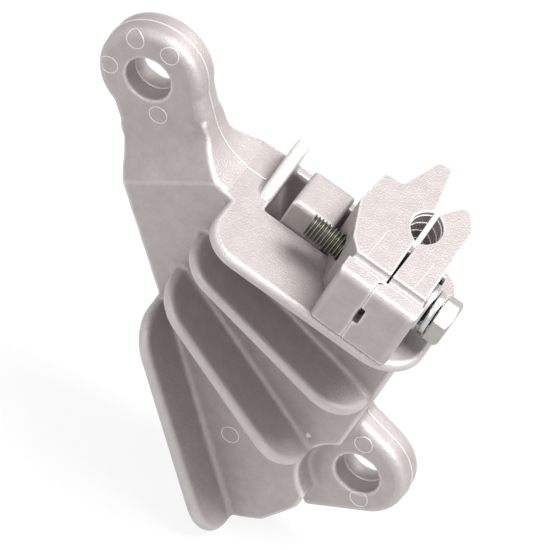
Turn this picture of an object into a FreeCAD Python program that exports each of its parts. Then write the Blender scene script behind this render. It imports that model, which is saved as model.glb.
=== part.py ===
import FreeCAD, Part
import math
import os
import re

import Sketcher

# Wedge tension clamp: a cast housing with two eyes holds a two-part wedge core
# that grips a conductor. Millimetres.
# X runs along the core's bolt towards its head, Y runs from the ribbed front to
# the back, and Z runs along the conductor, out of the mouth. The origin is where
# the conductor's axis crosses the mouth face.

os.makedirs("parts", exist_ok=True)
doc = FreeCAD.newDocument("wedge_tension_clamp")
sheet = doc.addObject("Spreadsheet::Sheet", "Sizes")

SIZES = {
    # eyes
    "eye_bore_radius": 9.0, "eye_thickness": 16.0, "eye_edge": 3.5,
    "upper_eye_radius": 21.0, "lower_eye_radius": 19.2,
    "upper_eye_x": -115.2, "upper_eye_z": 14.2, "lower_eye_x": 31.7, "lower_eye_z": -89.8,
    "parting_y": 0.0,
    # housing, seen from the front
    "front_y": -18.0, "bar_back_y": 17.5, "housing_back_y": 17.5,
    "flank_angle": 47.0, "flank_offset": 18.6, "neck_angle": 51.0, "neck_offset": 19.5,
    "throat_radius": 30.0, "throat_lead": 6.0, "bar_overlap": 16.0,
    "ramp_top": 25.6, "ramp_foot": 38.5, "back_ramp_top": 30.0, "back_ramp_foot": 43.0,
    "mouth_left": -65.5, "fan_left": -67.5, "mouth_right": 23.5, "side_x": 20.5,
    "side_drop": 14.0, "shoulder_round": 12.0,
    "heel_x": 2.0, "heel_round": 4.0, "toe_x": 12.5, "toe_z": -130.5, "hip_x": 20.5, "hip_z": -114.0,
    "back_edge": 4.0,
    # channel for the wedge core
    "channel_left": -52.7, "channel_right": 16.0, "channel_half_height": 13.0,
    "channel_step": 8.0, "channel_floor": -108.0, "exit_left": -8.0, "exit_right": 10.0,
    # ribs on the front, from the mouth down
    "rib_thickness": 5.0, "mouth_rib_height": 27.0, "fan_rib_height": 20.5,
    "rib_near_round": 15.0, "rib_far_round": 19.0, "rib_root": 4.0, "crest_land": 0.1,
    "mouth_rib_z": -2.5, "mouth_rib_angle": 0.0, "mouth_rib_length": 92.0,
    "second_rib_z": -23.5, "second_rib_angle": 13.8, "second_rib_length": 89.6,
    "third_rib_z": -45.5, "third_rib_angle": 27.0, "third_rib_length": 89.0,
    "flank_rib_z": -64.5, "flank_rib_angle": 48.3, "flank_rib_length": 103.0,
    # stop fin beside the channel
    "fin_thickness": 5.4, "fin_height": 12.0, "fin_front_y": -8.5, "fin_top": 8.0, "fin_round": 2.4,
    # wedge core
    "seat_gap": 0.3, "head_height": 28.0, "tail_length": 50.0, "tail_gap": 0.4,
    "tail_taper": 3.0, "left_tail_x": -24.0, "right_tail_x": 11.6,
    "groove_radius": 10.3, "groove_depth": 6.2, "slit_heel": 0.15, "slit_slope": 0.0155,
    "jaw_bottom_y": -31.5, "foot_top_y": -35.4, "foot_front_y": -44.5,
    "foot_left": -17.0, "foot_right": 16.5, "foot_seam": -2.5, "foot_round": 3.0,
    "neck_groove_radius": 2.0,
    "window_width": 2.4, "window_length": 8.0, "window_depth": 7.0, "window_shift": 0.9,
    # locking wedge
    "key_left": -45.8, "key_right": -27.8, "key_depth": 21.2, "key_top": 12.0, "key_foot": -40.0,
    "key_round": 2.0, "key_gap": 0.3,
    # bolt and washers
    "bolt_y": -20.5, "bolt_z": 14.0, "bolt_radius": 5.0, "bolt_length": 57.0, "bolt_end_chamfer": 1.0,
    "head_flats": 17.0, "hex_head_height": 6.4, "right_face_x": 15.2,
    "washer_radius": 10.0, "washer_bore": 5.3, "washer_thickness": 2.0,
    "spring_radius": 9.0, "spring_bore": 5.2, "spring_wire": 2.2, "spring_rise": 1.8,
    "thread_gap": 0.06, "bolt_hole_gap": 0.5, "running_gap": 0.1,
}

for row, (alias, number) in enumerate(SIZES.items(), start=1):
    sheet.set(f"A{row}", alias)
    sheet.set(f"B{row}", str(number))
    sheet.setAlias(f"B{row}", alias)
doc.recompute()

# How close a point has to be to a place to count as being there
NEAR = 0.01


def bound(text):
    """A formula on the sheet's names, written the way an expression reads them."""
    return re.sub(r"[a-z_]+", lambda word: f"Sizes.{word[0]}" if word[0] in SIZES else word[0], text)


def size(text):
    """The number that a formula on the sheet's names comes to."""
    return float(sheet.evalExpression(bound(text)))


def bind(thing, prop, text):
    thing.setExpression(prop, bound(text))


def new_body(label):
    body = doc.addObject("PartDesign::Body", label)
    body.Label = label
    return body


def sketch_on(body, role, offset):
    """An empty sketch on one of the body's own planes, moved along its normal."""
    plane = [item for item in body.Origin.OriginFeatures if item.Role == role][0]
    sketch = body.newObject("Sketcher::SketchObject", "Sketch")
    sketch.AttachmentSupport = [(plane, "")]
    sketch.MapMode = "FlatFace"
    bind(sketch, "AttachmentOffset.Base.z", offset)
    return sketch


def draw_polygon(sketch, corners):
    """A closed outline whose corners are each held to the sheet."""
    points = [FreeCAD.Vector(size(across), size(up), 0) for across, up in corners]
    first = sketch.GeometryCount
    for start, end in zip(points, points[1:] + points[:1]):
        sketch.addGeometry(Part.LineSegment(start, end), False)
    for index, (across, up) in enumerate(corners):
        line = first + index
        after = first + (index + 1) % len(corners)
        sketch.addConstraint(Sketcher.Constraint("Coincident", line, 2, after, 1))
        for kind, text in (("DistanceX", across), ("DistanceY", up)):
            number = sketch.addConstraint(Sketcher.Constraint(kind, -1, 1, line, 1, size(text)))
            bind(sketch, f"Constraints[{number}]", text)


def draw_circle(sketch, across, up, radius):
    circle = Part.Circle(FreeCAD.Vector(size(across), size(up), 0), FreeCAD.Vector(0, 0, 1), size(radius))
    index = sketch.addGeometry(circle, False)
    for kind, text in (("DistanceX", across), ("DistanceY", up)):
        number = sketch.addConstraint(Sketcher.Constraint(kind, -1, 1, index, 3, size(text)))
        bind(sketch, f"Constraints[{number}]", text)
    number = sketch.addConstraint(Sketcher.Constraint("Radius", index, size(radius)))
    bind(sketch, f"Constraints[{number}]", radius)


def pad(body, sketch, length, middle=False):
    feature = body.newObject("PartDesign::Pad", "Pad")
    feature.Profile = sketch
    bind(feature, "Length", length)
    feature.Midplane = middle
    sketch.Visibility = False
    doc.recompute()
    return feature


def prism(label, role, offset, length, corners, middle=False):
    """A body of one padded outline."""
    body = new_body(label)
    sketch = sketch_on(body, role, offset)
    draw_polygon(sketch, corners)
    pad(body, sketch, length, middle)
    return body


def front_prism(label, front, back, corners):
    """A body whose outline is seen from the front and that runs from front to back."""
    return prism(label, "XZ_Plane", f"-({back})", f"({back}) - ({front})", corners)


def cylinder(label, radius, height, base, axis):
    """A cylinder from a base point along an axis, sizes and place held to the sheet."""
    thing = doc.addObject("Part::Cylinder", label)
    bind(thing, "Radius", radius)
    bind(thing, "Height", height)
    turn = FreeCAD.Rotation(FreeCAD.Vector(0, 0, 1), FreeCAD.Vector(*axis))
    thing.Placement = FreeCAD.Placement(FreeCAD.Vector(0, 0, 0), turn)
    for letter, text in zip("xyz", base):
        bind(thing, f"Placement.Base.{letter}", text)
    return thing


def fuse(label, things):
    joined = doc.addObject("Part::MultiFuse", label)
    joined.Shapes = things
    joined.Refine = True
    doc.recompute()
    return joined


def cut(label, base, tools):
    result = doc.addObject("Part::Cut", label)
    result.Base = base
    result.Tool = tools[0] if len(tools) == 1 else fuse(label + "_tools", tools)
    result.Refine = True
    doc.recompute()
    return result


def middle_of(edge):
    return edge.valueAt((edge.FirstParameter + edge.LastParameter) / 2)


def round_body(body, radius, wanted):
    """Rounds the edges of a body's last feature whose middle point is wanted."""
    base = body.Tip
    names = [f"Edge{index}" for index, edge in enumerate(base.Shape.Edges, start=1)
             if wanted(middle_of(edge))]
    feature = body.newObject("PartDesign::Fillet", "Fillet")
    feature.Base = (base, names)
    bind(feature, "Radius", radius)
    doc.recompute()
    return feature


# Plan directions of the housing: the flank line runs down from the upper eye, and
# the neck line is the other side of that eye.
FLANK_START = ("upper_eye_x - flank_offset * sin(flank_angle)",
               "upper_eye_z - flank_offset * cos(flank_angle)")
NECK_START = ("upper_eye_x + neck_offset * sin(neck_angle)",
              "upper_eye_z + neck_offset * cos(neck_angle)")


def along_flank(distance):
    """A point on the flank line, measured from the upper eye's centre."""
    return (f"{FLANK_START[0]} + ({distance}) * cos(flank_angle)",
            f"{FLANK_START[1]} - ({distance}) * sin(flank_angle)")


def along_neck(distance):
    return (f"{NECK_START[0]} + ({distance}) * cos(neck_angle)",
            f"{NECK_START[1]} - ({distance}) * sin(neck_angle)")


# Where the neck line meets the crest of the ramp and the mouth plane
NECK_AT_RAMP = "(ramp_top - neck_offset * sin(neck_angle - flank_angle)) / cos(neck_angle - flank_angle)"
NECK_TO_MOUTH = f"({NECK_START[1]}) / sin(neck_angle)"
MOUTH_CORNER = along_neck(NECK_TO_MOUTH)


def flank_at(x):
    """The point of the flank line at a given x."""
    return along_flank(f"({x} - ({FLANK_START[0]})) / cos(flank_angle)")


def eye_plate(label, centre, radius, outline):
    """A flat eye: a round end and a neck, with rounded edges all round."""
    body = new_body(label)
    sketch = sketch_on(body, "XZ_Plane", "-(parting_y + eye_thickness / 2)")
    draw_circle(sketch, centre[0], centre[1], radius)
    pad(body, sketch, "eye_thickness")
    neck = sketch_on(body, "XZ_Plane", "-(parting_y + eye_thickness / 2)")
    draw_polygon(neck, outline)
    pad(body, neck, "eye_thickness").Refine = True
    doc.recompute()
    middle_y = size("parting_y")
    half = size("eye_thickness") / 2
    round_body(body, "eye_edge", lambda point: abs(abs(point.y - middle_y) - half) < NEAR)
    return body


def rib(label, name, left, height):
    """A rib standing on the front: round ends, a round crest and a buried root."""
    body = new_body(label)
    near, far = size("rib_near_round"), size("rib_far_round")
    length, top, root = size(f"{name}_length"), -size(height), size("rib_root")
    sketch = sketch_on(body, "XY_Plane", "0")
    corners = (("0", "rib_root"), ("0", f"-{height} + rib_near_round"), ("rib_near_round", f"-{height}"),
               (f"{name}_length - rib_far_round", f"-{height}"),
               (f"{name}_length", f"-{height} + rib_far_round"),
               (f"{name}_length", "rib_root"))
    points = [FreeCAD.Vector(size(across), size(up), 0) for across, up in corners]
    bends = {1: (near, near + top, near), 3: (length - far, top + far, far)}
    for index, (start, end) in enumerate(zip(points, points[1:] + points[:1])):
        if index in bends:
            x, y, radius = bends[index]
            circle = Part.Circle(FreeCAD.Vector(x, y, 0), FreeCAD.Vector(0, 0, 1), radius)
            turn = (math.pi, 1.5 * math.pi) if index == 1 else (1.5 * math.pi, 2 * math.pi)
            sketch.addGeometry(Part.ArcOfCircle(circle, *turn), False)
        else:
            sketch.addGeometry(Part.LineSegment(start, end), False)
    for index in range(len(points)):
        after = (index + 1) % len(points)
        sketch.addConstraint(Sketcher.Constraint("Coincident", index, 2, after, 1))
    pad(body, sketch, "rib_thickness", middle=True)
    half = size("rib_thickness") / 2
    round_body(body, "(rib_thickness - crest_land) / 2",
               lambda point: abs(abs(point.z) - half) < NEAR and point.y < root - NEAR)
    turn = FreeCAD.Rotation(FreeCAD.Vector(0, 1, 0), size(f"{name}_angle"))
    place = FreeCAD.Vector(size(left), size("front_y"), size(f"{name}_z"))
    body.Placement = FreeCAD.Placement(place, turn)
    return body


def ramp_cutter(label, side, top, foot):
    """Takes the bar down to the eye's face with a slope. side is -1 in front, 1 behind."""
    face = f"parting_y + {side} * eye_thickness / 2"
    plane = "front_y" if side < 0 else "bar_back_y"
    rise = f"({plane} - parting_y - {side} * eye_thickness / 2)"
    past = f"{face} + 1.5 * {rise}"
    past_foot = f"{top} + 1.5 * ({foot} - {top})"
    corners = (("0", face), (top, face), (past_foot, past), ("0", past))
    body = prism(label, "XY_Plane", "0", "8 * upper_eye_radius", corners, middle=True)
    turn = FreeCAD.Rotation(FreeCAD.Vector(0, 1, 0), size("flank_angle"))
    body.Placement = FreeCAD.Placement(FreeCAD.Vector(size("upper_eye_x"), 0, size("upper_eye_z")), turn)
    return body


# Clamp body: one aluminium casting. The bar and the housing share the front plane.
upper_neck = (FLANK_START, NECK_START, along_neck(f"{NECK_AT_RAMP} + 6"), along_flank("2 * ramp_foot"))
upper_eye = eye_plate("upper_eye_plate", ("upper_eye_x", "upper_eye_z"), "upper_eye_radius", upper_neck)
lower_neck = (("lower_eye_x + lower_eye_radius * sin(14)", "lower_eye_z + lower_eye_radius * cos(14)"),
              ("lower_eye_x - 1.2 * lower_eye_radius", "lower_eye_z + lower_eye_radius * 1.33"),
              ("lower_eye_x - 1.2 * lower_eye_radius", "lower_eye_z - lower_eye_radius * 0.9"),
              ("lower_eye_x - 0.5 * lower_eye_radius", "lower_eye_z - lower_eye_radius * 1.66"),
              ("lower_eye_x + lower_eye_radius * sin(37)", "lower_eye_z - lower_eye_radius * cos(37)"))
lower_eye = eye_plate("lower_eye_plate", ("lower_eye_x", "lower_eye_z"), "lower_eye_radius", lower_neck)

HEEL = flank_at("heel_x")


def over(corner):
    """Tells the edges that stand over one corner of an outline seen from the front."""
    x, z = size(corner[0]), size(corner[1])
    return lambda point: math.hypot(point.x - x, point.z - z) < NEAR


def along_back(x):
    """Tells the edges of the housing's back that run down at a given x."""
    return lambda point: abs(point.y - size("housing_back_y")) < NEAR and abs(point.x - size(x)) < NEAR


bar_outline = (along_flank("ramp_top - throat_lead"), flank_at("(mouth_left + bar_overlap)"),
               ("mouth_left + bar_overlap", "0"), MOUTH_CORNER,
               along_neck(f"{NECK_AT_RAMP} - throat_lead"))
bar = front_prism("bar_block", "front_y", "bar_back_y", bar_outline)
round_body(bar, "throat_radius", over(MOUTH_CORNER))

MOUTH_END = ("mouth_right", "0")
SHOULDER = ("mouth_right", "-0.6 * side_drop")
housing_outline = (("mouth_left", "0"), flank_at("mouth_left"), HEEL, ("toe_x", "toe_z"), ("hip_x", "hip_z"),
                   ("side_x", "-2 * side_drop"), SHOULDER, MOUTH_END)
housing = front_prism("housing_block", "front_y", "housing_back_y", housing_outline)
round_body(housing, "heel_round", over(HEEL))
round_body(housing, "shoulder_round", along_back("mouth_right"))
round_body(housing, "back_edge", along_back("mouth_left"))

ribs = [rib("mouth_rib_plate", "mouth_rib", "mouth_left", "mouth_rib_height")]
for fan_rib in ("second_rib", "third_rib", "flank_rib"):
    ribs.append(rib(f"{fan_rib}_plate", fan_rib, "fan_left", "fan_rib_height"))

fin_outline = (("fin_front_y", "-fin_thickness"), ("fin_front_y", "0"),
               ("housing_back_y - fin_top", "fin_height"), ("housing_back_y", "fin_height"),
               ("housing_back_y", "-fin_thickness"))
fin = prism("stop_fin", "YZ_Plane", "channel_left - fin_thickness", "fin_thickness", fin_outline)
round_body(fin, "fin_round", lambda point: point.z > 0.1)

ramps = [ramp_cutter("front_ramp", -1, "ramp_top", "ramp_foot"),
         ramp_cutter("back_ramp", 1, "back_ramp_top", "back_ramp_foot")]
stepped = cut("stepped_bar", bar, ramps)
spot_front = cylinder("front_spot_face", "lower_eye_radius + 1",
                      "parting_y - eye_thickness / 2 - front_y + 2",
                      ("lower_eye_x", "front_y - 2", "lower_eye_z"), (0, 1, 0))
spot_back = cylinder("back_spot_face", "lower_eye_radius + 1", "housing_back_y",
                     ("lower_eye_x", "parting_y + eye_thickness / 2", "lower_eye_z"), (0, 1, 0))
shell = cut("shell", fuse("blocks", [stepped, housing]), [spot_front, spot_back])
casting = fuse("casting", [shell, upper_eye, lower_eye, fin] + ribs)

channel_outline = (("channel_left", "head_height"), ("channel_right", "head_height"), ("channel_right", "0"),
                   ("exit_right", "channel_floor"), ("exit_right", "2 * channel_floor"),
                   ("exit_left", "2 * channel_floor"), ("exit_left", "channel_floor"),
                   ("channel_left", "-channel_step"))
channel = front_prism("channel", "-channel_half_height", "channel_half_height", channel_outline)
bores = [cylinder(f"{eye}_bore", "eye_bore_radius", "eye_thickness + 2",
                  (f"{eye}_x", "parting_y - eye_thickness / 2 - 1", f"{eye}_z"), (0, 1, 0))
         for eye in ("upper_eye", "lower_eye")]
clamp_body = cut("clamp_body", casting, [channel] + bores)


# Wedge core: two halves, each a head in front of the mouth and a tapered tail in
# the channel. The slit between them opens from the foot towards the back.
def slit(y):
    return f"(slit_heel + slit_slope * ({y} - foot_front_y))"


def wedge_half(label, head, tail):
    """One half of the core: its head, padded from the seat, and its tail, in one body."""
    body = new_body(label)
    head_sketch = sketch_on(body, "XY_Plane", "seat_gap")
    draw_polygon(head_sketch, head)
    pad(body, head_sketch, "head_height - seat_gap")
    tail_sketch = sketch_on(body, "XZ_Plane", "-(channel_half_height - tail_gap)")
    draw_polygon(tail_sketch, tail)
    pad(body, tail_sketch, "2 * (channel_half_height - tail_gap)").Refine = True
    doc.recompute()
    return body


# The left jaw's outline on the end face, from the foot's seam round to the slit
left_head = (("foot_seam - slit_heel", "foot_front_y"), ("foot_left", "foot_front_y"),
             ("foot_left", "foot_top_y"), ("foot_left + 1.6", "jaw_bottom_y"),
             ("foot_left - 3", "jaw_bottom_y + 5.5"), ("-26", "-8"),
             ("-24.2", "11"), ("-16.6", "12"), ("-10.7", "32.7"), ("-4.7", "33.3"),
             (f"-{slit('groove_radius')}", "groove_radius"),
             (f"-{slit('foot_top_y')}", "foot_top_y - 0.6"), ("foot_seam - slit_heel", "foot_top_y - 3.1"))
right_head = (("foot_seam + slit_heel", "foot_front_y"), ("foot_seam + slit_heel", "foot_top_y - 3.5"),
              (f"{slit('foot_top_y')}", "foot_top_y - 1"), (f"{slit('groove_radius')}", "groove_radius"),
              ("6.5", "20"), ("9.9", "20.4"), ("14.6", "12.3"), ("right_face_x", "jaw_bottom_y + 3"),
              ("right_face_x", "jaw_bottom_y"), ("foot_right", "foot_top_y"), ("foot_right", "foot_front_y"))
TAIL_NARROWING = "(tail_length * tan(tail_taper))"
inner = slit("channel_half_height")
left_tail = (("left_tail_x", "seat_gap + 1"), (f"-{inner}", "seat_gap + 1"), (f"-{inner}", "-tail_length"),
             (f"left_tail_x + 2 * {TAIL_NARROWING}", "-tail_length"), ("left_tail_x", "0"))
right_tail = (("right_tail_x", "seat_gap + 1"), (f"{inner}", "seat_gap + 1"), (f"{inner}", "-tail_length"),
              (f"right_tail_x - {TAIL_NARROWING}", "-tail_length"), ("right_tail_x", "0"))
halves = {-1: wedge_half("left_half_blank", left_head, left_tail),
          1: wedge_half("right_half_blank", right_head, right_tail)}


def on_foot_front(point):
    """Tells the edges of the foot's front face, apart from the seat's edge and the seam."""
    beside_seam = abs(point.x - size("foot_seam")) > 2 * NEAR + size("slit_heel")
    return abs(point.y - size("foot_front_y")) < NEAR and point.z > size("seat_gap") + NEAR and beside_seam


for half_body in halves.values():
    round_body(half_body, "foot_round", on_foot_front)

groove_height = "head_height + tail_length + 4"
finished = {}
for side, name in ((-1, "left"), (1, "right")):
    groove = cylinder(f"{name}_conductor_groove", "groove_radius", groove_height,
                      (f"{-side} * (groove_radius - groove_depth)", "0", "-tail_length - 2"), (0, 0, 1))
    neck = cylinder(f"{name}_neck_groove", "neck_groove_radius", "4 * head_height",
                    ("-2 * head_height", "(jaw_bottom_y + foot_top_y) / 2", "head_height"), (1, 0, 0))
    hole_gap = "thread_gap" if side < 0 else "bolt_hole_gap"
    hole = cylinder(f"{name}_bolt_hole", f"bolt_radius + {hole_gap}", "4 * head_height",
                    ("-2 * head_height", "bolt_y", "bolt_z"), (1, 0, 0))
    window = doc.addObject("Part::Box", f"{name}_window")
    bind(window, "Length", "window_width")
    bind(window, "Width", "window_depth + 1")
    bind(window, "Height", "window_length")
    bind(window, "Placement.Base.x", "foot_seam - window_width / 2 + window_shift")
    bind(window, "Placement.Base.y", "foot_front_y - 1")
    bind(window, "Placement.Base.z", "(head_height - window_length) / 2")
    finished[side] = cut(f"wedge_half_{name}", halves[side], [groove, neck, hole, window])


# Locking wedge: a tapered key that lies in the channel beside the left half and
# rests on the channel's sloping wall.
CHANNEL_SLOPE = "((exit_left - channel_left) / (-channel_step - channel_floor))"
key_bend = f"-channel_step - (key_left - key_gap - channel_left) / {CHANNEL_SLOPE}"
key_foot_x = f"channel_left + key_gap + (-channel_step - key_foot) * {CHANNEL_SLOPE}"
key_outline = (("key_left", "key_top"), ("key_right", "key_top"), ("key_right", "key_foot"),
               (key_foot_x, "key_foot"), ("key_left", key_bend))
key = front_prism("locking_wedge", "-channel_half_height + key_gap",
                  "-channel_half_height + key_gap + key_depth", key_outline)
round_body(key, "key_round", lambda point: point.z > size("key_top") - NEAR)


# Bolt with hexagon head, its axis along X
STACK = "(right_face_x + washer_thickness + spring_wire + spring_rise + running_gap)"
bolt = new_body("clamp_bolt")
hexagon = sketch_on(bolt, "YZ_Plane", STACK)
corner = "head_flats / 2 / cos(30)"
draw_polygon(hexagon, [(f"bolt_y + {corner} * cos({turn})", f"bolt_z + {corner} * sin({turn})")
                       for turn in range(30, 390, 60)])
pad(bolt, hexagon, "hex_head_height")
shank = sketch_on(bolt, "YZ_Plane", f"{STACK} - bolt_length")
draw_circle(shank, "bolt_y", "bolt_z", "bolt_radius")
pad(bolt, shank, "bolt_length")
end_x = size(STACK) - size("bolt_length")
plain_bolt = bolt.Tip
ends = [f"Edge{index}" for index, edge in enumerate(plain_bolt.Shape.Edges, start=1)
        if abs(middle_of(edge).x - end_x) < NEAR]
chamfer = bolt.newObject("PartDesign::Chamfer", "Chamfer")
chamfer.Base = (plain_bolt, ends)
bind(chamfer, "Size", "bolt_end_chamfer")
doc.recompute()


# Flat washer against the right half, and a split spring washer under the head
washer = new_body("flat_washer")
ring = sketch_on(washer, "YZ_Plane", "right_face_x")
draw_circle(ring, "bolt_y", "bolt_z", "washer_radius")
draw_circle(ring, "bolt_y", "bolt_z", "washer_bore")
pad(washer, ring, "washer_thickness")

spring = doc.addObject("Part::Feature", "spring_washer")
rise = size("spring_rise")
helix = Part.makeHelix(rise / 0.96, rise, size("spring_bore"))
wire_width = size("spring_radius - spring_bore")
wire_height = size("spring_wire")
inner_x = size("spring_bore")
section = Part.makePolygon([FreeCAD.Vector(inner_x, 0, 0), FreeCAD.Vector(inner_x + wire_width, 0, 0),
                            FreeCAD.Vector(inner_x + wire_width, 0, wire_height),
                            FreeCAD.Vector(inner_x, 0, wire_height), FreeCAD.Vector(inner_x, 0, 0)])
spring.Shape = Part.Wire(helix).makePipeShell([section], True, True)
spring.Placement = FreeCAD.Placement(
    FreeCAD.Vector(size("right_face_x + washer_thickness"), size("bolt_y"), size("bolt_z")),
    FreeCAD.Rotation(FreeCAD.Vector(0, 0, 1), FreeCAD.Vector(1, 0, 0)))

doc.recompute()
nodes = {"clamp_body": clamp_body, "wedge_half_left": finished[-1], "wedge_half_right": finished[1],
         "locking_wedge": key, "clamp_bolt": bolt, "flat_washer": washer, "spring_washer": spring}
for thing in doc.Objects:
    if "Invalid" in thing.State or "Error" in thing.State:
        raise RuntimeError(f"{thing.Label} failed: {thing.State}")
for name, thing in nodes.items():
    if thing.Shape.isNull() or not thing.Shape.isValid():
        raise RuntimeError(f"{name} has no valid shape")
for name, thing in nodes.items():
    thing.Shape.exportStep(f"parts/{name}.step")
    box = thing.Shape.BoundBox
    print(name, len(thing.Shape.Solids), round(thing.Shape.Volume), [round(v, 1) for v in
          (box.XMin, box.XMax, box.YMin, box.YMax, box.ZMin, box.ZMax)])
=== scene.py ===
import math

import bmesh
import bpy
import numpy as np
from mathutils import Matrix, Vector
from mathutils.bvhtree import BVHTree


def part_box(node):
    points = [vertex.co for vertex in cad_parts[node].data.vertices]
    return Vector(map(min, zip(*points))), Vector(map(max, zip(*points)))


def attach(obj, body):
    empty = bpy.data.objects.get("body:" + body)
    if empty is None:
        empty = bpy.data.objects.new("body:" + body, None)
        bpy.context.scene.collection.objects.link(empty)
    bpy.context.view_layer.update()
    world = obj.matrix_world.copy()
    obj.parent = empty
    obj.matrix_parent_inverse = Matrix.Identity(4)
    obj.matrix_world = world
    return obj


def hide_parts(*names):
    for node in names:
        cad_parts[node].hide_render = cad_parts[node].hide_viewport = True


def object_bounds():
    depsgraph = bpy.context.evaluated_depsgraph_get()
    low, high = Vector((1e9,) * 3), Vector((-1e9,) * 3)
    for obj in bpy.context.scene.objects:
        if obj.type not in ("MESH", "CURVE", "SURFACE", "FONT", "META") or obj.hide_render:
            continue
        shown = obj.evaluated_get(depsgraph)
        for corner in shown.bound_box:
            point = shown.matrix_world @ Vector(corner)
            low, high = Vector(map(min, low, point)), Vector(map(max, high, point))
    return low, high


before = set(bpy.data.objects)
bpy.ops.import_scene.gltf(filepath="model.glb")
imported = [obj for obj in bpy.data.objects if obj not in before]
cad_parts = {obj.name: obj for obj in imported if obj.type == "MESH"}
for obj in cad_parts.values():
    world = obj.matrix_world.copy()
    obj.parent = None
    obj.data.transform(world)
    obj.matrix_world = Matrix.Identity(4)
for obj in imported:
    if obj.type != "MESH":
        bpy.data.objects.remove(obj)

cad_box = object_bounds()


# Camera. It looks at the ribbed front and the mouth together, from 45 degrees above and
# 2.25 m away through a long lens, and is rolled until the bolt points up to the right.
def placed(name, data):
    """A new object that holds some data, linked into the scene."""
    thing = bpy.data.objects.new(name, data)
    bpy.context.scene.collection.objects.link(thing)
    return thing


mm = 0.001
camera = placed("camera", bpy.data.cameras.new("camera"))
bpy.context.scene.camera = camera
camera_distance = 2250 * mm
camera_anchor = Vector((0, -25 * mm, 0))
camera_elevation = 45.0
camera_roll = 35.6
camera_tilt = 1.0
aim_left = 34.0 * mm
aim_up = 13.3 * mm
pixels_per_mm = 2.73
picture_pixels = 550
turn = (Matrix.Rotation(math.radians(camera_elevation), 4, "X")
        @ Matrix.Rotation(math.radians(camera_roll), 4, "Z")
        @ Matrix.Rotation(math.radians(camera_tilt), 4, "X"))
place = camera_anchor + turn.col[2].to_3d() * camera_distance
aim = (Matrix.Rotation(math.atan(aim_left / camera_distance), 4, "Y")
       @ Matrix.Rotation(math.atan(aim_up / camera_distance), 4, "X"))
camera.matrix_world = Matrix.Translation(place) @ turn @ aim
camera.data.sensor_width = 36.0
camera.data.lens = camera.data.sensor_width * pixels_per_mm * camera_distance / mm / picture_pixels
camera.data.clip_start = 0.05
camera.data.clip_end = 50.0


# Floor and surroundings. A matt white studio floor just under the toe, and an even pale
# room. The camera and the metal see both as white, while the floor still shows a shadow.
def linear(hex_colour):
    """An sRGB hex colour as linear RGBA."""
    parts = [int(hex_colour[i:i + 2], 16) / 255 for i in (1, 3, 5)]
    return [c / 12.92 if c <= 0.04045 else ((c + 0.055) / 1.055) ** 2.4 for c in parts] + [1.0]


def add(tree, kind, links=None, **settings):
    """Adds a node. links gives an input a node, a socket or a value; settings are its properties."""
    node = tree.nodes.new(kind)
    for key, value in settings.items():
        setattr(node, key, value)
    for key, value in (links or {}).items():
        if isinstance(value, bpy.types.Node):
            value = value.outputs[0]
        if isinstance(value, bpy.types.NodeSocket):
            tree.links.new(value, node.inputs[key])
        else:
            node.inputs[key].default_value = value
    return node


def new_material(name):
    """An empty material and its node tree."""
    material = bpy.data.materials.new(name)
    material.use_nodes = True
    material.node_tree.nodes.clear()
    return material, material.node_tree


def seen_directly(tree):
    """A node that gives 1 for rays from the camera and for mirror or glass rays, otherwise 0."""
    path = add(tree, "ShaderNodeLightPath").outputs
    direct = add(tree, "ShaderNodeMath", {0: path["Is Camera Ray"], 1: path["Is Glossy Ray"]},
                 operation="MAXIMUM")
    return add(tree, "ShaderNodeMath", {0: direct, 1: path["Is Transmission Ray"]}, operation="MAXIMUM")


room_light = 0.64
world = bpy.data.worlds.new("pale_room")
world.use_nodes = True
room = world.node_tree
room.nodes.clear()
bpy.context.scene.world = world
wall = add(room, "ShaderNodeBackground", {"Color": linear("#f4f5f7"), "Strength": room_light})
white = add(room, "ShaderNodeBackground", {"Color": linear("#ffffff"), "Strength": 1.0})
both = add(room, "ShaderNodeMixShader", {0: seen_directly(room), 1: wall, 2: white})
add(room, "ShaderNodeOutputWorld", {"Surface": both})

floor_drop = 1.0 * mm
floor_radius = 4.0
floor_sides = 96
shape = bmesh.new()
bmesh.ops.create_circle(shape, cap_ends=True, segments=floor_sides, radius=floor_radius)
bmesh.ops.translate(shape, verts=shape.verts, vec=(0, 0, cad_box[0].z - floor_drop))
floor_mesh = bpy.data.meshes.new("floor")
shape.to_mesh(floor_mesh)
shape.free()
floor = placed("floor", floor_mesh)
# Matt paper has no gloss. Most of it is seen as plain white, and a seventh takes the shadow.
paper_share = 0.14
floor_white, tree = new_material("matt white paper sweep")
paper = add(tree, "ShaderNodeBsdfDiffuse", {"Color": linear("#f2f2f2")})
glow = add(tree, "ShaderNodeEmission", {"Color": linear("#ffffff"), "Strength": 1.0})
keep = add(tree, "ShaderNodeMath", {0: seen_directly(tree), 1: 1.0 - paper_share}, operation="MULTIPLY")
mixed = add(tree, "ShaderNodeMixShader", {0: keep, 1: paper, 2: glow})
add(tree, "ShaderNodeOutputMaterial", {"Surface": mixed})
floor_mesh.materials.append(floor_white)


# Lamps. A large soft box overhead and a little to the right gives the bright top faces,
# and a weaker one behind the camera's left shoulder opens the ribbed front.
lamp_target = Vector((0, 0, -0.04))
for name, spot, edge, watts in (("overhead_box", (0.35, 0.20, 1.30), 0.8, 34.0),
                                ("front_fill", (-0.45, -1.45, 1.15), 1.2, 10.0)):
    lamp = placed(name, bpy.data.lights.new(name, "AREA"))
    lamp.data.size = edge
    lamp.data.energy = watts
    lamp.location = spot
    lamp.rotation_euler = (lamp_target - lamp.location).to_track_quat("-Z", "Y").to_euler()


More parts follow.
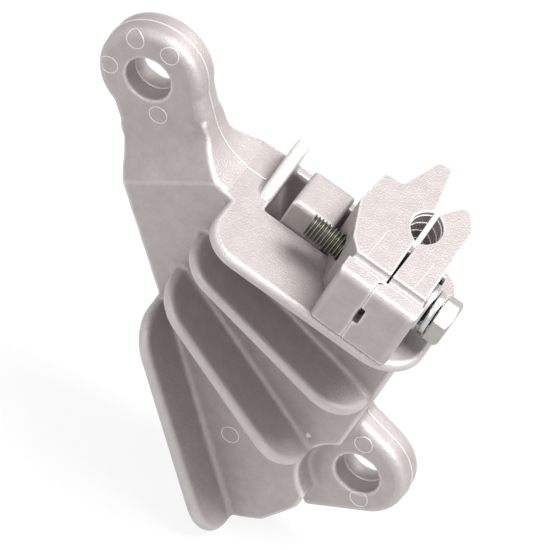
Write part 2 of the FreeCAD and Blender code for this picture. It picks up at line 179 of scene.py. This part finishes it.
# Clamp body. One aluminium casting from a two-part die, left as cast: satin grey, with
# soft edges, fillets at the rib roots and a fine grain.
def copy_of(node, name):
    """A merged copy of a CAD node's mesh, as a new piece."""
    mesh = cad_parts[node].data.copy()
    mesh.materials.clear()
    shape = bmesh.new()
    shape.from_mesh(mesh)
    bmesh.ops.remove_doubles(shape, verts=shape.verts, dist=0.002 * mm)
    shape.to_mesh(mesh)
    shape.free()
    return placed(name, mesh)


def settle(piece):
    """Turns a piece's modifiers into its mesh and shades it smooth."""
    bpy.context.view_layer.update()
    graph = bpy.context.evaluated_depsgraph_get()
    mesh = bpy.data.meshes.new_from_object(piece.evaluated_get(graph))
    piece.modifiers.clear()
    piece.data = mesh
    for face in mesh.polygons:
        face.use_smooth = True
    return piece


def to_grid(piece, grid):
    """Rebuilds a piece's skin on an even grid, which closes it and rounds its edges a little."""
    remesh = piece.modifiers.new("grid", "REMESH")
    remesh.mode = "VOXEL"
    remesh.voxel_size = grid
    settle(piece)


def swell(piece, step, share):
    """Moves each point out along its normal by step times its share."""
    mesh = piece.data
    points = np.empty(len(mesh.vertices) * 3)
    normals = np.empty(len(mesh.vertices) * 3)
    mesh.vertices.foreach_get("co", points)
    mesh.vertices.foreach_get("normal", normals)
    points = points.reshape(-1, 3)
    points += normals.reshape(-1, 3) * (step * share(points))[:, None]
    mesh.vertices.foreach_set("co", points.ravel())
    mesh.update()


def as_cast(piece, grid, soften, triangles):
    """Softens a piece's edges and brings it to its number of triangles."""
    to_grid(piece, grid)
    smooth = piece.modifiers.new("soften", "SMOOTH")
    smooth.factor = 0.5
    smooth.iterations = soften
    settle(piece)
    count = sum(len(face.vertices) - 2 for face in piece.data.polygons)
    if count > triangles:
        thin = piece.modifiers.new("thin", "DECIMATE")
        thin.ratio = triangles / count
        settle(piece)
    return piece


seat_reach = 0.3 * mm
seat_clear = 0.05 * mm


def flatten(piece, height, level):
    """Brings the points of a machined seat near a height to one level."""
    for corner in piece.data.vertices:
        if abs(corner.co.z - height) < seat_reach:
            corner.co.z = level


cloud_range = (0.33, 0.68)
grain_range = (0.3, 0.7)
highlight_edge_range = (0.505, 0.56)


def metal(name, *, dark, light, rubbed_and_highlight_colour, patch_mm, grain_mm, grain_depth_mm, roughness, spread, bare, highlight_and_wear):
    """A metal with cloudy tone, a grain and paler edges, which are a painted highlight with some rubbing.
    bare is how little oxide dulls it.
    """
    material, tree = new_material(name)
    where = add(tree, "ShaderNodeTexCoord").outputs["Object"]
    cloud = add(tree, "ShaderNodeTexNoise", {"Vector": where, "Scale": 1 / (patch_mm * mm),
                                             "Detail": 6.0, "Roughness": 0.62})
    tone = add(tree, "ShaderNodeValToRGB", {"Fac": cloud})
    for stop, position, colour in zip(tone.color_ramp.elements, cloud_range, (dark, light)):
        stop.position = position
        stop.color = linear(colour)
    pointed = add(tree, "ShaderNodeNewGeometry").outputs["Pointiness"]
    # Convex edges turn pale here: a painted highlight, with some rubbing.
    edge = add(tree, "ShaderNodeMapRange", {"Value": pointed, "From Min": highlight_edge_range[0],
                                            "From Max": highlight_edge_range[1], "To Min": 0.0, "To Max": highlight_and_wear})
    colour = add(tree, "ShaderNodeMix", {0: edge, 6: tone, 7: linear(rubbed_and_highlight_colour)}, data_type="RGBA").outputs[2]
    grain = add(tree, "ShaderNodeTexNoise", {"Vector": where, "Scale": 1 / (grain_mm * mm),
                                             "Detail": 3.0, "Roughness": 0.6})
    gloss = add(tree, "ShaderNodeMapRange", {"Value": grain, "From Min": grain_range[0],
                                             "From Max": grain_range[1],
                                             "To Min": roughness - spread, "To Max": roughness + spread})
    bump = add(tree, "ShaderNodeBump", {"Height": grain, "Strength": 1.0, "Distance": grain_depth_mm * mm})
    skin = add(tree, "ShaderNodeBsdfPrincipled", {"Base Color": colour, "Metallic": bare,
                                                  "Roughness": gloss, "Normal": bump})
    add(tree, "ShaderNodeOutputMaterial", {"Surface": skin})
    return material


# As cast: satin grey with broad soft highlights, a faint cloudy tone and paler edges, which are a painted
# highlight with some rubbing. The real grain is about 0.15 mm, and is drawn at 0.8 mm so that it shows.
cast_aluminium = metal("die-cast aluminium, as cast", dark="#9c9492", light="#a49d9b", rubbed_and_highlight_colour="#e2dedc",
                       patch_mm=6.0, grain_mm=0.8, grain_depth_mm=0.22, roughness=0.46, spread=0.06,
                       bare=0.42, highlight_and_wear=0.8)
# Trimmed: a smoother metal where the flash was cut away, painted far paler than the casting so that the
# raised lines read as pale lines; the paleness is a painted highlight with some real trimmed brightness. Its
# grain is also drawn coarser than it is.
trimmed_and_highlight_aluminium = metal("die-cast aluminium, trimmed, painted highlight", dark="#cbc5c3", light="#d8d3d1",
                       rubbed_and_highlight_colour="#e2dedc", patch_mm=4.0, grain_mm=0.6, grain_depth_mm=0.08, roughness=0.40,
                       spread=0.05, bare=0.6, highlight_and_wear=0.0)
body_grid = 0.72 * mm
body_triangles = 190000
root_fillet = 0.6 * mm
front_plane = -18.0 * mm
fillet_reach = 2.0 * mm
channel_left = -52.7 * mm
channel_right = 16.0 * mm
channel_bend = -8.0 * mm
channel_floor = -108.0 * mm
exit_left = -8.0 * mm
exit_right = 10.0 * mm
thin_from = 10.9 * mm
thin_to = 12.6 * mm
thin_low = -97.0 * mm
thin_high = -80.0 * mm
thin_reach = 17.4 * mm
wall_margin = 0.2 * mm


def channel_side(z):
    """x of the channel's right wall at a depth."""
    return channel_right + min(max(z / channel_floor, 0.0), 1.0) * (exit_right - channel_right)


def on_ribbed_front(points):
    """1 on the ribs in front of the front plane, fading to 0 just behind it."""
    return np.clip((front_plane + fillet_reach - points[:, 1]) / fillet_reach, 0, 1)


clamp_skin = copy_of("clamp_body", "cast_housing")
# The spot faces round the lower eye leave only half a millimetre of the channel's wall,
# less than the grid can hold, so they stop a little sooner here.
for corner in clamp_skin.data.vertices:
    x, y, z = corner.co
    in_spot_face = thin_from < x < thin_to and abs(y) < thin_reach and thin_low < z < thin_high
    if in_spot_face and x > channel_side(z) + wall_margin:
        corner.co.x = thin_to
to_grid(clamp_skin, body_grid)
swell(clamp_skin, root_fillet, on_ribbed_front)
to_grid(clamp_skin, body_grid)
swell(clamp_skin, -root_fillet, on_ribbed_front)
as_cast(clamp_skin, body_grid, soften=3, triangles=body_triangles)
flatten(clamp_skin, 0.0, -seat_clear)
clamp_skin.data.materials.append(cast_aluminium)
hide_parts("clamp_body")
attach(clamp_skin, "housing")


# Stop fin. The casting's own tongue beside the channel, which the key passes, with a flat
# sloping face and tight edges.
fin_outline = ((-8.5, -5.4), (-8.5, 0.0), (9.5, 12.0), (17.5, 12.0), (17.5, -5.4))
fin_left = -58.1 * mm
fin_right = -52.7 * mm
shape = bmesh.new()
outer, inner = [[shape.verts.new((x, y * mm, z * mm)) for y, z in fin_outline] for x in (fin_left, fin_right)]
shape.faces.new(outer)
shape.faces.new(inner)
for i in range(len(fin_outline)):
    shape.faces.new((outer[i - 1], outer[i], inner[i], inner[i - 1]))
bmesh.ops.recalc_face_normals(shape, faces=shape.faces)
fin_mesh = bpy.data.meshes.new("stop_fin")
shape.to_mesh(fin_mesh)
shape.free()
stop_fin = placed("stop_fin", fin_mesh)
fin_edge = stop_fin.modifiers.new("edge", "BEVEL")
fin_edge.width = 1.3 * mm
fin_edge.segments = 4
settle(stop_fin)
stop_fin.data.materials.append(cast_aluminium)
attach(stop_fin, "housing")


# Raised lines on the casting: the ridge where the two die halves met, all round the
# middle of the part and in both bores, and the rings that the ejector pins left.
def line_tree():
    """Geometry nodes that lay a half round bead along every edge line of a mesh."""
    tree = bpy.data.node_groups.new("bead along lines", "GeometryNodeTree")
    for label, kind in (("Lines", "NodeSocketGeometry"), ("Half Width", "NodeSocketFloat"),
                        ("Spacing", "NodeSocketFloat"), ("Finish", "NodeSocketMaterial")):
        tree.interface.new_socket(label, in_out="INPUT", socket_type=kind)
    tree.interface.new_socket("Bead", in_out="OUTPUT", socket_type="NodeSocketGeometry")
    given = add(tree, "NodeGroupInput").outputs
    path = add(tree, "GeometryNodeMeshToCurve", {"Mesh": given["Lines"]})
    even = add(tree, "GeometryNodeResampleCurve", {"Curve": path, "Length": given["Spacing"]}, mode="LENGTH")
    section = add(tree, "GeometryNodeCurvePrimitiveCircle", {"Resolution": 8, "Radius": given["Half Width"]})
    bead = add(tree, "GeometryNodeCurveToMesh", {"Curve": even, "Profile Curve": section, "Fill Caps": True})
    real = add(tree, "GeometryNodeRealizeInstances", {"Geometry": bead})
    finish = add(tree, "GeometryNodeSetMaterial", {"Geometry": real, "Material": given["Finish"]})
    add(tree, "NodeGroupOutput", {"Bead": finish})
    return tree


def shaped_by(piece, tree, sizes):
    """Runs a node tree on a piece with the given inputs and keeps the mesh that it makes."""
    modifier = piece.modifiers.new(tree.name, "NODES")
    modifier.node_group = tree
    for item in tree.interface.items_tree:
        if item.in_out == "INPUT" and item.name in sizes:
            modifier[item.identifier] = sizes[item.name]
    return settle(piece)


bead_tree = line_tree()


def beads(name, lines, half_width, body, finish):
    """A piece of raised beads along lines of points. A line that ends where it starts is a ring."""
    points = []
    edges = []
    for line in lines:
        first = len(points)
        closed = (Vector(line[0]) - Vector(line[-1])).length < 1e-9
        points += line[:-1] if closed else line
        edges += [(i, i + 1) for i in range(first, len(points) - 1)]
        if closed:
            edges.append((len(points) - 1, first))
    mesh = bpy.data.meshes.new(name)
    mesh.from_pydata(points, edges, [])
    piece = placed(name, mesh)
    shaped_by(piece, bead_tree, {"Half Width": half_width, "Spacing": 2.5 * half_width, "Finish": finish})
    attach(piece, body)


ridge_half_width = 0.42 * mm
ridge_spacing = 1.6 * mm
ridge_spare = 0.9 * mm
ridge_below_mouth = 1.5 * mm
parting_y = 0.0


def beside_channel(x, z):
    """True where the parting ridge shows: not on the channel's walls, nor on the stop fin."""
    down = min(max((channel_bend - z) / (channel_bend - channel_floor), 0.0), 1.0)
    wall_left = channel_left + down * (exit_left - channel_left)
    if z > -ridge_below_mouth:
        wall_left = fin_left
    on_right = x > channel_side(z) + ridge_spare and z < -ridge_below_mouth
    return x < wall_left - ridge_spare or on_right


shape = bmesh.new()
shape.from_mesh(clamp_skin.data)
halved = bmesh.ops.bisect_plane(shape, geom=shape.verts[:] + shape.edges[:] + shape.faces[:],
                                plane_co=(0, parting_y, 0), plane_no=(0, 1, 0), dist=1e-7)
numbers = {}
ridge_edges = []
for edge in halved["geom_cut"]:
    if isinstance(edge, bmesh.types.BMEdge):
        middle = (edge.verts[0].co + edge.verts[1].co) / 2
        if beside_channel(middle.x, middle.z):
            ridge_edges.append([numbers.setdefault(corner, len(numbers)) for corner in edge.verts])
ridge_points = [corner.co[:] for corner in numbers]
shape.free()
ridge_mesh = bpy.data.meshes.new("parting_ridge")
ridge_mesh.from_pydata(ridge_points, ridge_edges, [])
parting_ridge = placed("parting_ridge", ridge_mesh)
# The ridge's pale finish is a painted highlight along its top, with some bright trimmed metal.
shaped_by(parting_ridge, bead_tree, {"Half Width": ridge_half_width, "Spacing": ridge_spacing,
                                     "Finish": trimmed_and_highlight_aluminium})
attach(parting_ridge, "housing")

pin_radius = 3.6 * mm
pin_line = 0.2 * mm
pin_steps = 40
pin_start_y = -60.0 * mm
pin_marks = ((-130.3, 9.1), (-126.8, 26.8), (-113.0, 30.2), (-105.0, 2.8), (27.2, -74.8), (37.7, -99.9),
             (-16.0, -102.1))
skin_tree = BVHTree.FromObject(clamp_skin, bpy.context.evaluated_depsgraph_get())
rings = []
for mark_x, mark_z in pin_marks:
    ring = []
    for step in range(pin_steps + 1):
        angle = math.tau * step / pin_steps
        start = Vector((mark_x * mm + pin_radius * math.cos(angle), pin_start_y,
                        mark_z * mm + pin_radius * math.sin(angle)))
        spot = skin_tree.ray_cast(start, Vector((0, 1, 0)))[0]
        if spot is not None:
            ring.append(spot[:])
    rings.append(ring)
beads("ejector_rings", rings, pin_line, "housing", cast_aluminium)


# Wedge core. Two cast halves that meet at a slit, each with half of the conductor groove,
# and the bolt runs through both. They are cast and then dressed by hand.
core_grid = 0.45 * mm
seat_gap = 0.3 * mm
tail_side = 7.0 * mm
tail_ease = 0.7 * mm
seam_x = -2.5 * mm
seam_top = -38.5 * mm
seam_reach = 0.35 * mm
seam_gap = 0.04 * mm
for node, name, body, seam in (("wedge_half_left", "core_left", "left_half", seam_x - seam_gap),
                               ("wedge_half_right", "core_right", "right_half", seam_x + seam_gap)):
    half = as_cast(copy_of(node, name), core_grid, soften=5, triangles=120000)
    flatten(half, seat_gap, seat_gap + seat_clear)
    for corner in half.data.vertices:
        if corner.co.y < seam_top and abs(corner.co.x - seam_x) < seam_reach:
            corner.co.x = seam
        if corner.co.z < 0 and corner.co.x > tail_side:
            corner.co.x -= tail_ease
    half.data.materials.append(cast_aluminium)
    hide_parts(node)
    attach(half, body)


# Marks cast on the core. Low rings across the conductor groove that grip the strand, a fine line on each
# jaw's end face, and the trimmed flash along the top of the foot, whose pale finish is a painted highlight
# along that edge.
groove_radius = 10.3 * mm
groove_offset = 4.1 * mm
slit_margin = 1.3 * mm
groove_arc = math.acos((groove_offset + slit_margin) / groove_radius)
ring_top = 26.0 * mm
ring_pitch = 4.5 * mm
ring_half_width = 0.32 * mm
ring_rows = [ring_top - row * ring_pitch for row in range(17)]
ring_angles = np.linspace(-groove_arc, groove_arc, 24)
for side, name, body in ((-1, "left_grip_rings", "left_half"), (1, "right_grip_rings", "right_half")):
    arcs = [[(side * (groove_radius * math.cos(a) - groove_offset), groove_radius * math.sin(a), height)
             for a in ring_angles] for height in ring_rows]
    beads(name, arcs, ring_half_width, body, cast_aluminium)
jaw_end = 28.0 * mm
jaw_line = 0.14 * mm
for side, ends in (("left", ((-10.9, -12.8), (-11.8, -31.0))), ("right", ((9.9, -14.0), (8.8, -31.0)))):
    line = [(x * mm, y * mm, jaw_end) for x, y in ends]
    beads(side + "_jaw_line", [line], jaw_line, side + "_half", cast_aluminium)
lip_y = -36.6 * mm
lip_z = 27.3 * mm
lip_half_width = 0.75 * mm
# The foot lip's pale finish is a painted highlight along the foot's top edge, with some trimmed metal.
for side, ends in (("left", (-14.6, -2.8)), ("right", (-2.2, 14.4))):
    line = [(x * mm, lip_y, lip_z) for x in ends]
    beads(side + "_foot_lip", [line], lip_half_width, side + "_half", trimmed_and_highlight_aluminium)


# Locking wedge. A die-cast aluminium key with rounded edges, which lies loose in the
# channel beside the core.
key = as_cast(copy_of("locking_wedge", "key_block"), core_grid, soften=8, triangles=60000)
key.data.materials.append(cast_aluminium)
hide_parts("locking_wedge")
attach(key, "key")


# Hexagon bolt, M10, zinc plated steel. The forged head has a chamfered outer face, and the
# shank carries a coarse rolled thread of 1.5 mm pitch, duller than the head.

# Forged head: a dull grey plating with a soft sheen and paler edges, a painted highlight with some rubbing;
# its grain is drawn coarser than it is.
head_zinc = metal("zinc plated steel, dull forged head", dark="#7f7e79", light="#95948f", rubbed_and_highlight_colour="#c4c3be",
                  patch_mm=3.0, grain_mm=0.5, grain_depth_mm=0.03, roughness=0.38, spread=0.05,
                  bare=0.9, highlight_and_wear=0.5)
# Rolled thread: darker olive grey, with bright crests that draw the thread's lines: a painted highlight with
# some wear.
thread_zinc = metal("zinc plated steel, dull rolled thread", dark="#45453f", light="#67665c",
                    rubbed_and_highlight_colour="#98968a", patch_mm=4.0, grain_mm=0.5, grain_depth_mm=0.03, roughness=0.34,
                    spread=0.05, bare=0.9, highlight_and_wear=0.6)
bolt_low, bolt_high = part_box("clamp_bolt")
bolt_axis = Vector((0, (bolt_low.y + bolt_high.y) / 2, (bolt_low.z + bolt_high.z) / 2))
head_flats = 17.0 * mm
head_height = 6.4 * mm
head_bottom = bolt_high.x - head_height
bolt_radius = 5.0 * mm
thread_pitch = 1.5 * mm
thread_depth = 0.92 * mm
thread_sides = 48
thread_rows = 304
root_width = 0.10
crest_start = 0.42


def thread_tree():
    """Geometry nodes that make a tube along Z and press a thread into it."""
    tree = bpy.data.node_groups.new("rolled thread", "GeometryNodeTree")
    for label, kind in (("Start", "NodeSocketGeometry"), ("Length", "NodeSocketFloat"),
                        ("Radius", "NodeSocketFloat"), ("Pitch", "NodeSocketFloat"),
                        ("Depth", "NodeSocketFloat"), ("Finish", "NodeSocketMaterial")):
        tree.interface.new_socket(label, in_out="INPUT", socket_type=kind)
    tree.interface.new_socket("Shank", in_out="OUTPUT", socket_type="NodeSocketGeometry")
    given = add(tree, "NodeGroupInput").outputs
    tube = add(tree, "GeometryNodeMeshCylinder", {"Vertices": thread_sides, "Side Segments": thread_rows,
                                                  "Radius": given["Radius"], "Depth": given["Length"]})
    where = add(tree, "ShaderNodeSeparateXYZ", {0: add(tree, "GeometryNodeInputPosition")}).outputs
    angle = add(tree, "ShaderNodeMath", {0: where["Y"], 1: where["X"]}, operation="ARCTAN2")
    around = add(tree, "ShaderNodeMath", {0: angle, 1: math.tau}, operation="DIVIDE")
    along = add(tree, "ShaderNodeMath", {0: where["Z"], 1: given["Pitch"]}, operation="DIVIDE")
    turns = add(tree, "ShaderNodeMath", {0: along, 1: around}, operation="ADD")
    wave = add(tree, "ShaderNodeMath", {0: turns, 1: 0.5}, operation="PINGPONG")
    groove = add(tree, "ShaderNodeMapRange", {"Value": wave, "From Min": root_width, "From Max": crest_start,
                                              "To Min": 1.0, "To Max": 0.0})
    sunk = add(tree, "ShaderNodeMath", {0: groove, 1: given["Depth"]}, operation="MULTIPLY")
    share = add(tree, "ShaderNodeMath", {0: sunk, 1: given["Radius"]}, operation="DIVIDE")
    inward = add(tree, "ShaderNodeMath", {0: 1.0, 1: share}, operation="SUBTRACT")
    moved_x = add(tree, "ShaderNodeMath", {0: where["X"], 1: inward}, operation="MULTIPLY")
    moved_y = add(tree, "ShaderNodeMath", {0: where["Y"], 1: inward}, operation="MULTIPLY")
    moved = add(tree, "ShaderNodeCombineXYZ", {"X": moved_x, "Y": moved_y, "Z": where["Z"]})
    cut_thread = add(tree, "GeometryNodeSetPosition", {"Geometry": tube, "Position": moved})
    real = add(tree, "GeometryNodeRealizeInstances", {"Geometry": cut_thread})
    finish = add(tree, "GeometryNodeSetMaterial", {"Geometry": real, "Material": given["Finish"]})
    add(tree, "NodeGroupOutput", {"Shank": finish})
    return tree


shank_length = head_bottom - bolt_low.x
shank_middle = bolt_axis + Vector((bolt_low.x + shank_length / 2, 0, 0))
thread = placed("bolt_thread", bpy.data.meshes.new("bolt_thread"))
shaped_by(thread, thread_tree(), {"Length": shank_length, "Radius": bolt_radius, "Pitch": thread_pitch,
                                  "Depth": thread_depth, "Finish": thread_zinc})
thread.data.transform(Matrix.Translation(shank_middle) @ Matrix.Rotation(math.radians(90), 4, "Y"))
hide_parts("clamp_bolt")
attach(thread, "bolt")

# The head from its washer face outwards: up the flats, over the chamfer and across the end.
head_steps = 96
washer_face = 0.95 * head_flats / 2
washer_step = 0.35 * mm
end_face = 0.94 * head_flats / 2
chamfer_slope = math.tan(math.radians(30))
shape = bmesh.new()
rows = [[], [], [], [], []]
for step in range(head_steps):
    angle = math.tau * step / head_steps
    from_flat = (angle + math.radians(30)) % math.radians(60) - math.radians(30)
    flats = head_flats / 2 / math.cos(from_flat)
    chamfer = head_height - (flats - end_face) * chamfer_slope
    outline = ((washer_face, 0.0), (washer_face, washer_step), (flats, washer_step), (flats, chamfer),
               (end_face, head_height))
    for row, (radius, rise) in zip(rows, outline):
        row.append(shape.verts.new((head_bottom + rise, bolt_axis.y + radius * math.cos(angle),
                                    bolt_axis.z + radius * math.sin(angle))))
for low, high in zip(rows, rows[1:]):
    for step in range(head_steps):
        shape.faces.new((low[step - 1], low[step], high[step], high[step - 1]))
shape.faces.new(rows[0])
shape.faces.new(rows[-1])
bmesh.ops.recalc_face_normals(shape, faces=shape.faces)
head_mesh = bpy.data.meshes.new("bolt_head")
shape.to_mesh(head_mesh)
shape.free()
head_mesh.materials.append(head_zinc)
bolt_head = placed("bolt_head", head_mesh)
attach(bolt_head, "bolt")


# Washers under the bolt's head, bright zinc plated: a punched flat one and a split spring
# one. Their edges are broken by tumbling.

# Bright plating: pale, smooth and glossy, with only a breath of grain, and paler edges that are a painted
# highlight with some rubbing.
zinc = metal("zinc plated steel, bright", dark="#9a9c9b", light="#bfc1c0", rubbed_and_highlight_colour="#dcdedd", patch_mm=4.0,
             grain_mm=0.5, grain_depth_mm=0.02, roughness=0.30, spread=0.05, bare=1.0, highlight_and_wear=0.5)
broken_edge = 0.18 * mm
for node in ("flat_washer", "spring_washer"):
    ring = copy_of(node, node + "_ring")
    edge = ring.modifiers.new("edge", "BEVEL")
    edge.width = broken_edge
    edge.segments = 2
    edge.limit_method = "ANGLE"
    edge.angle_limit = math.radians(40)
    settle(ring)
    ring.data.set_sharp_from_angle(angle=math.radians(30))
    ring.data.materials.append(zinc)
    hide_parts(node)
    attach(ring, "bolt")


bpy.context.scene.view_settings.view_transform = "Standard"
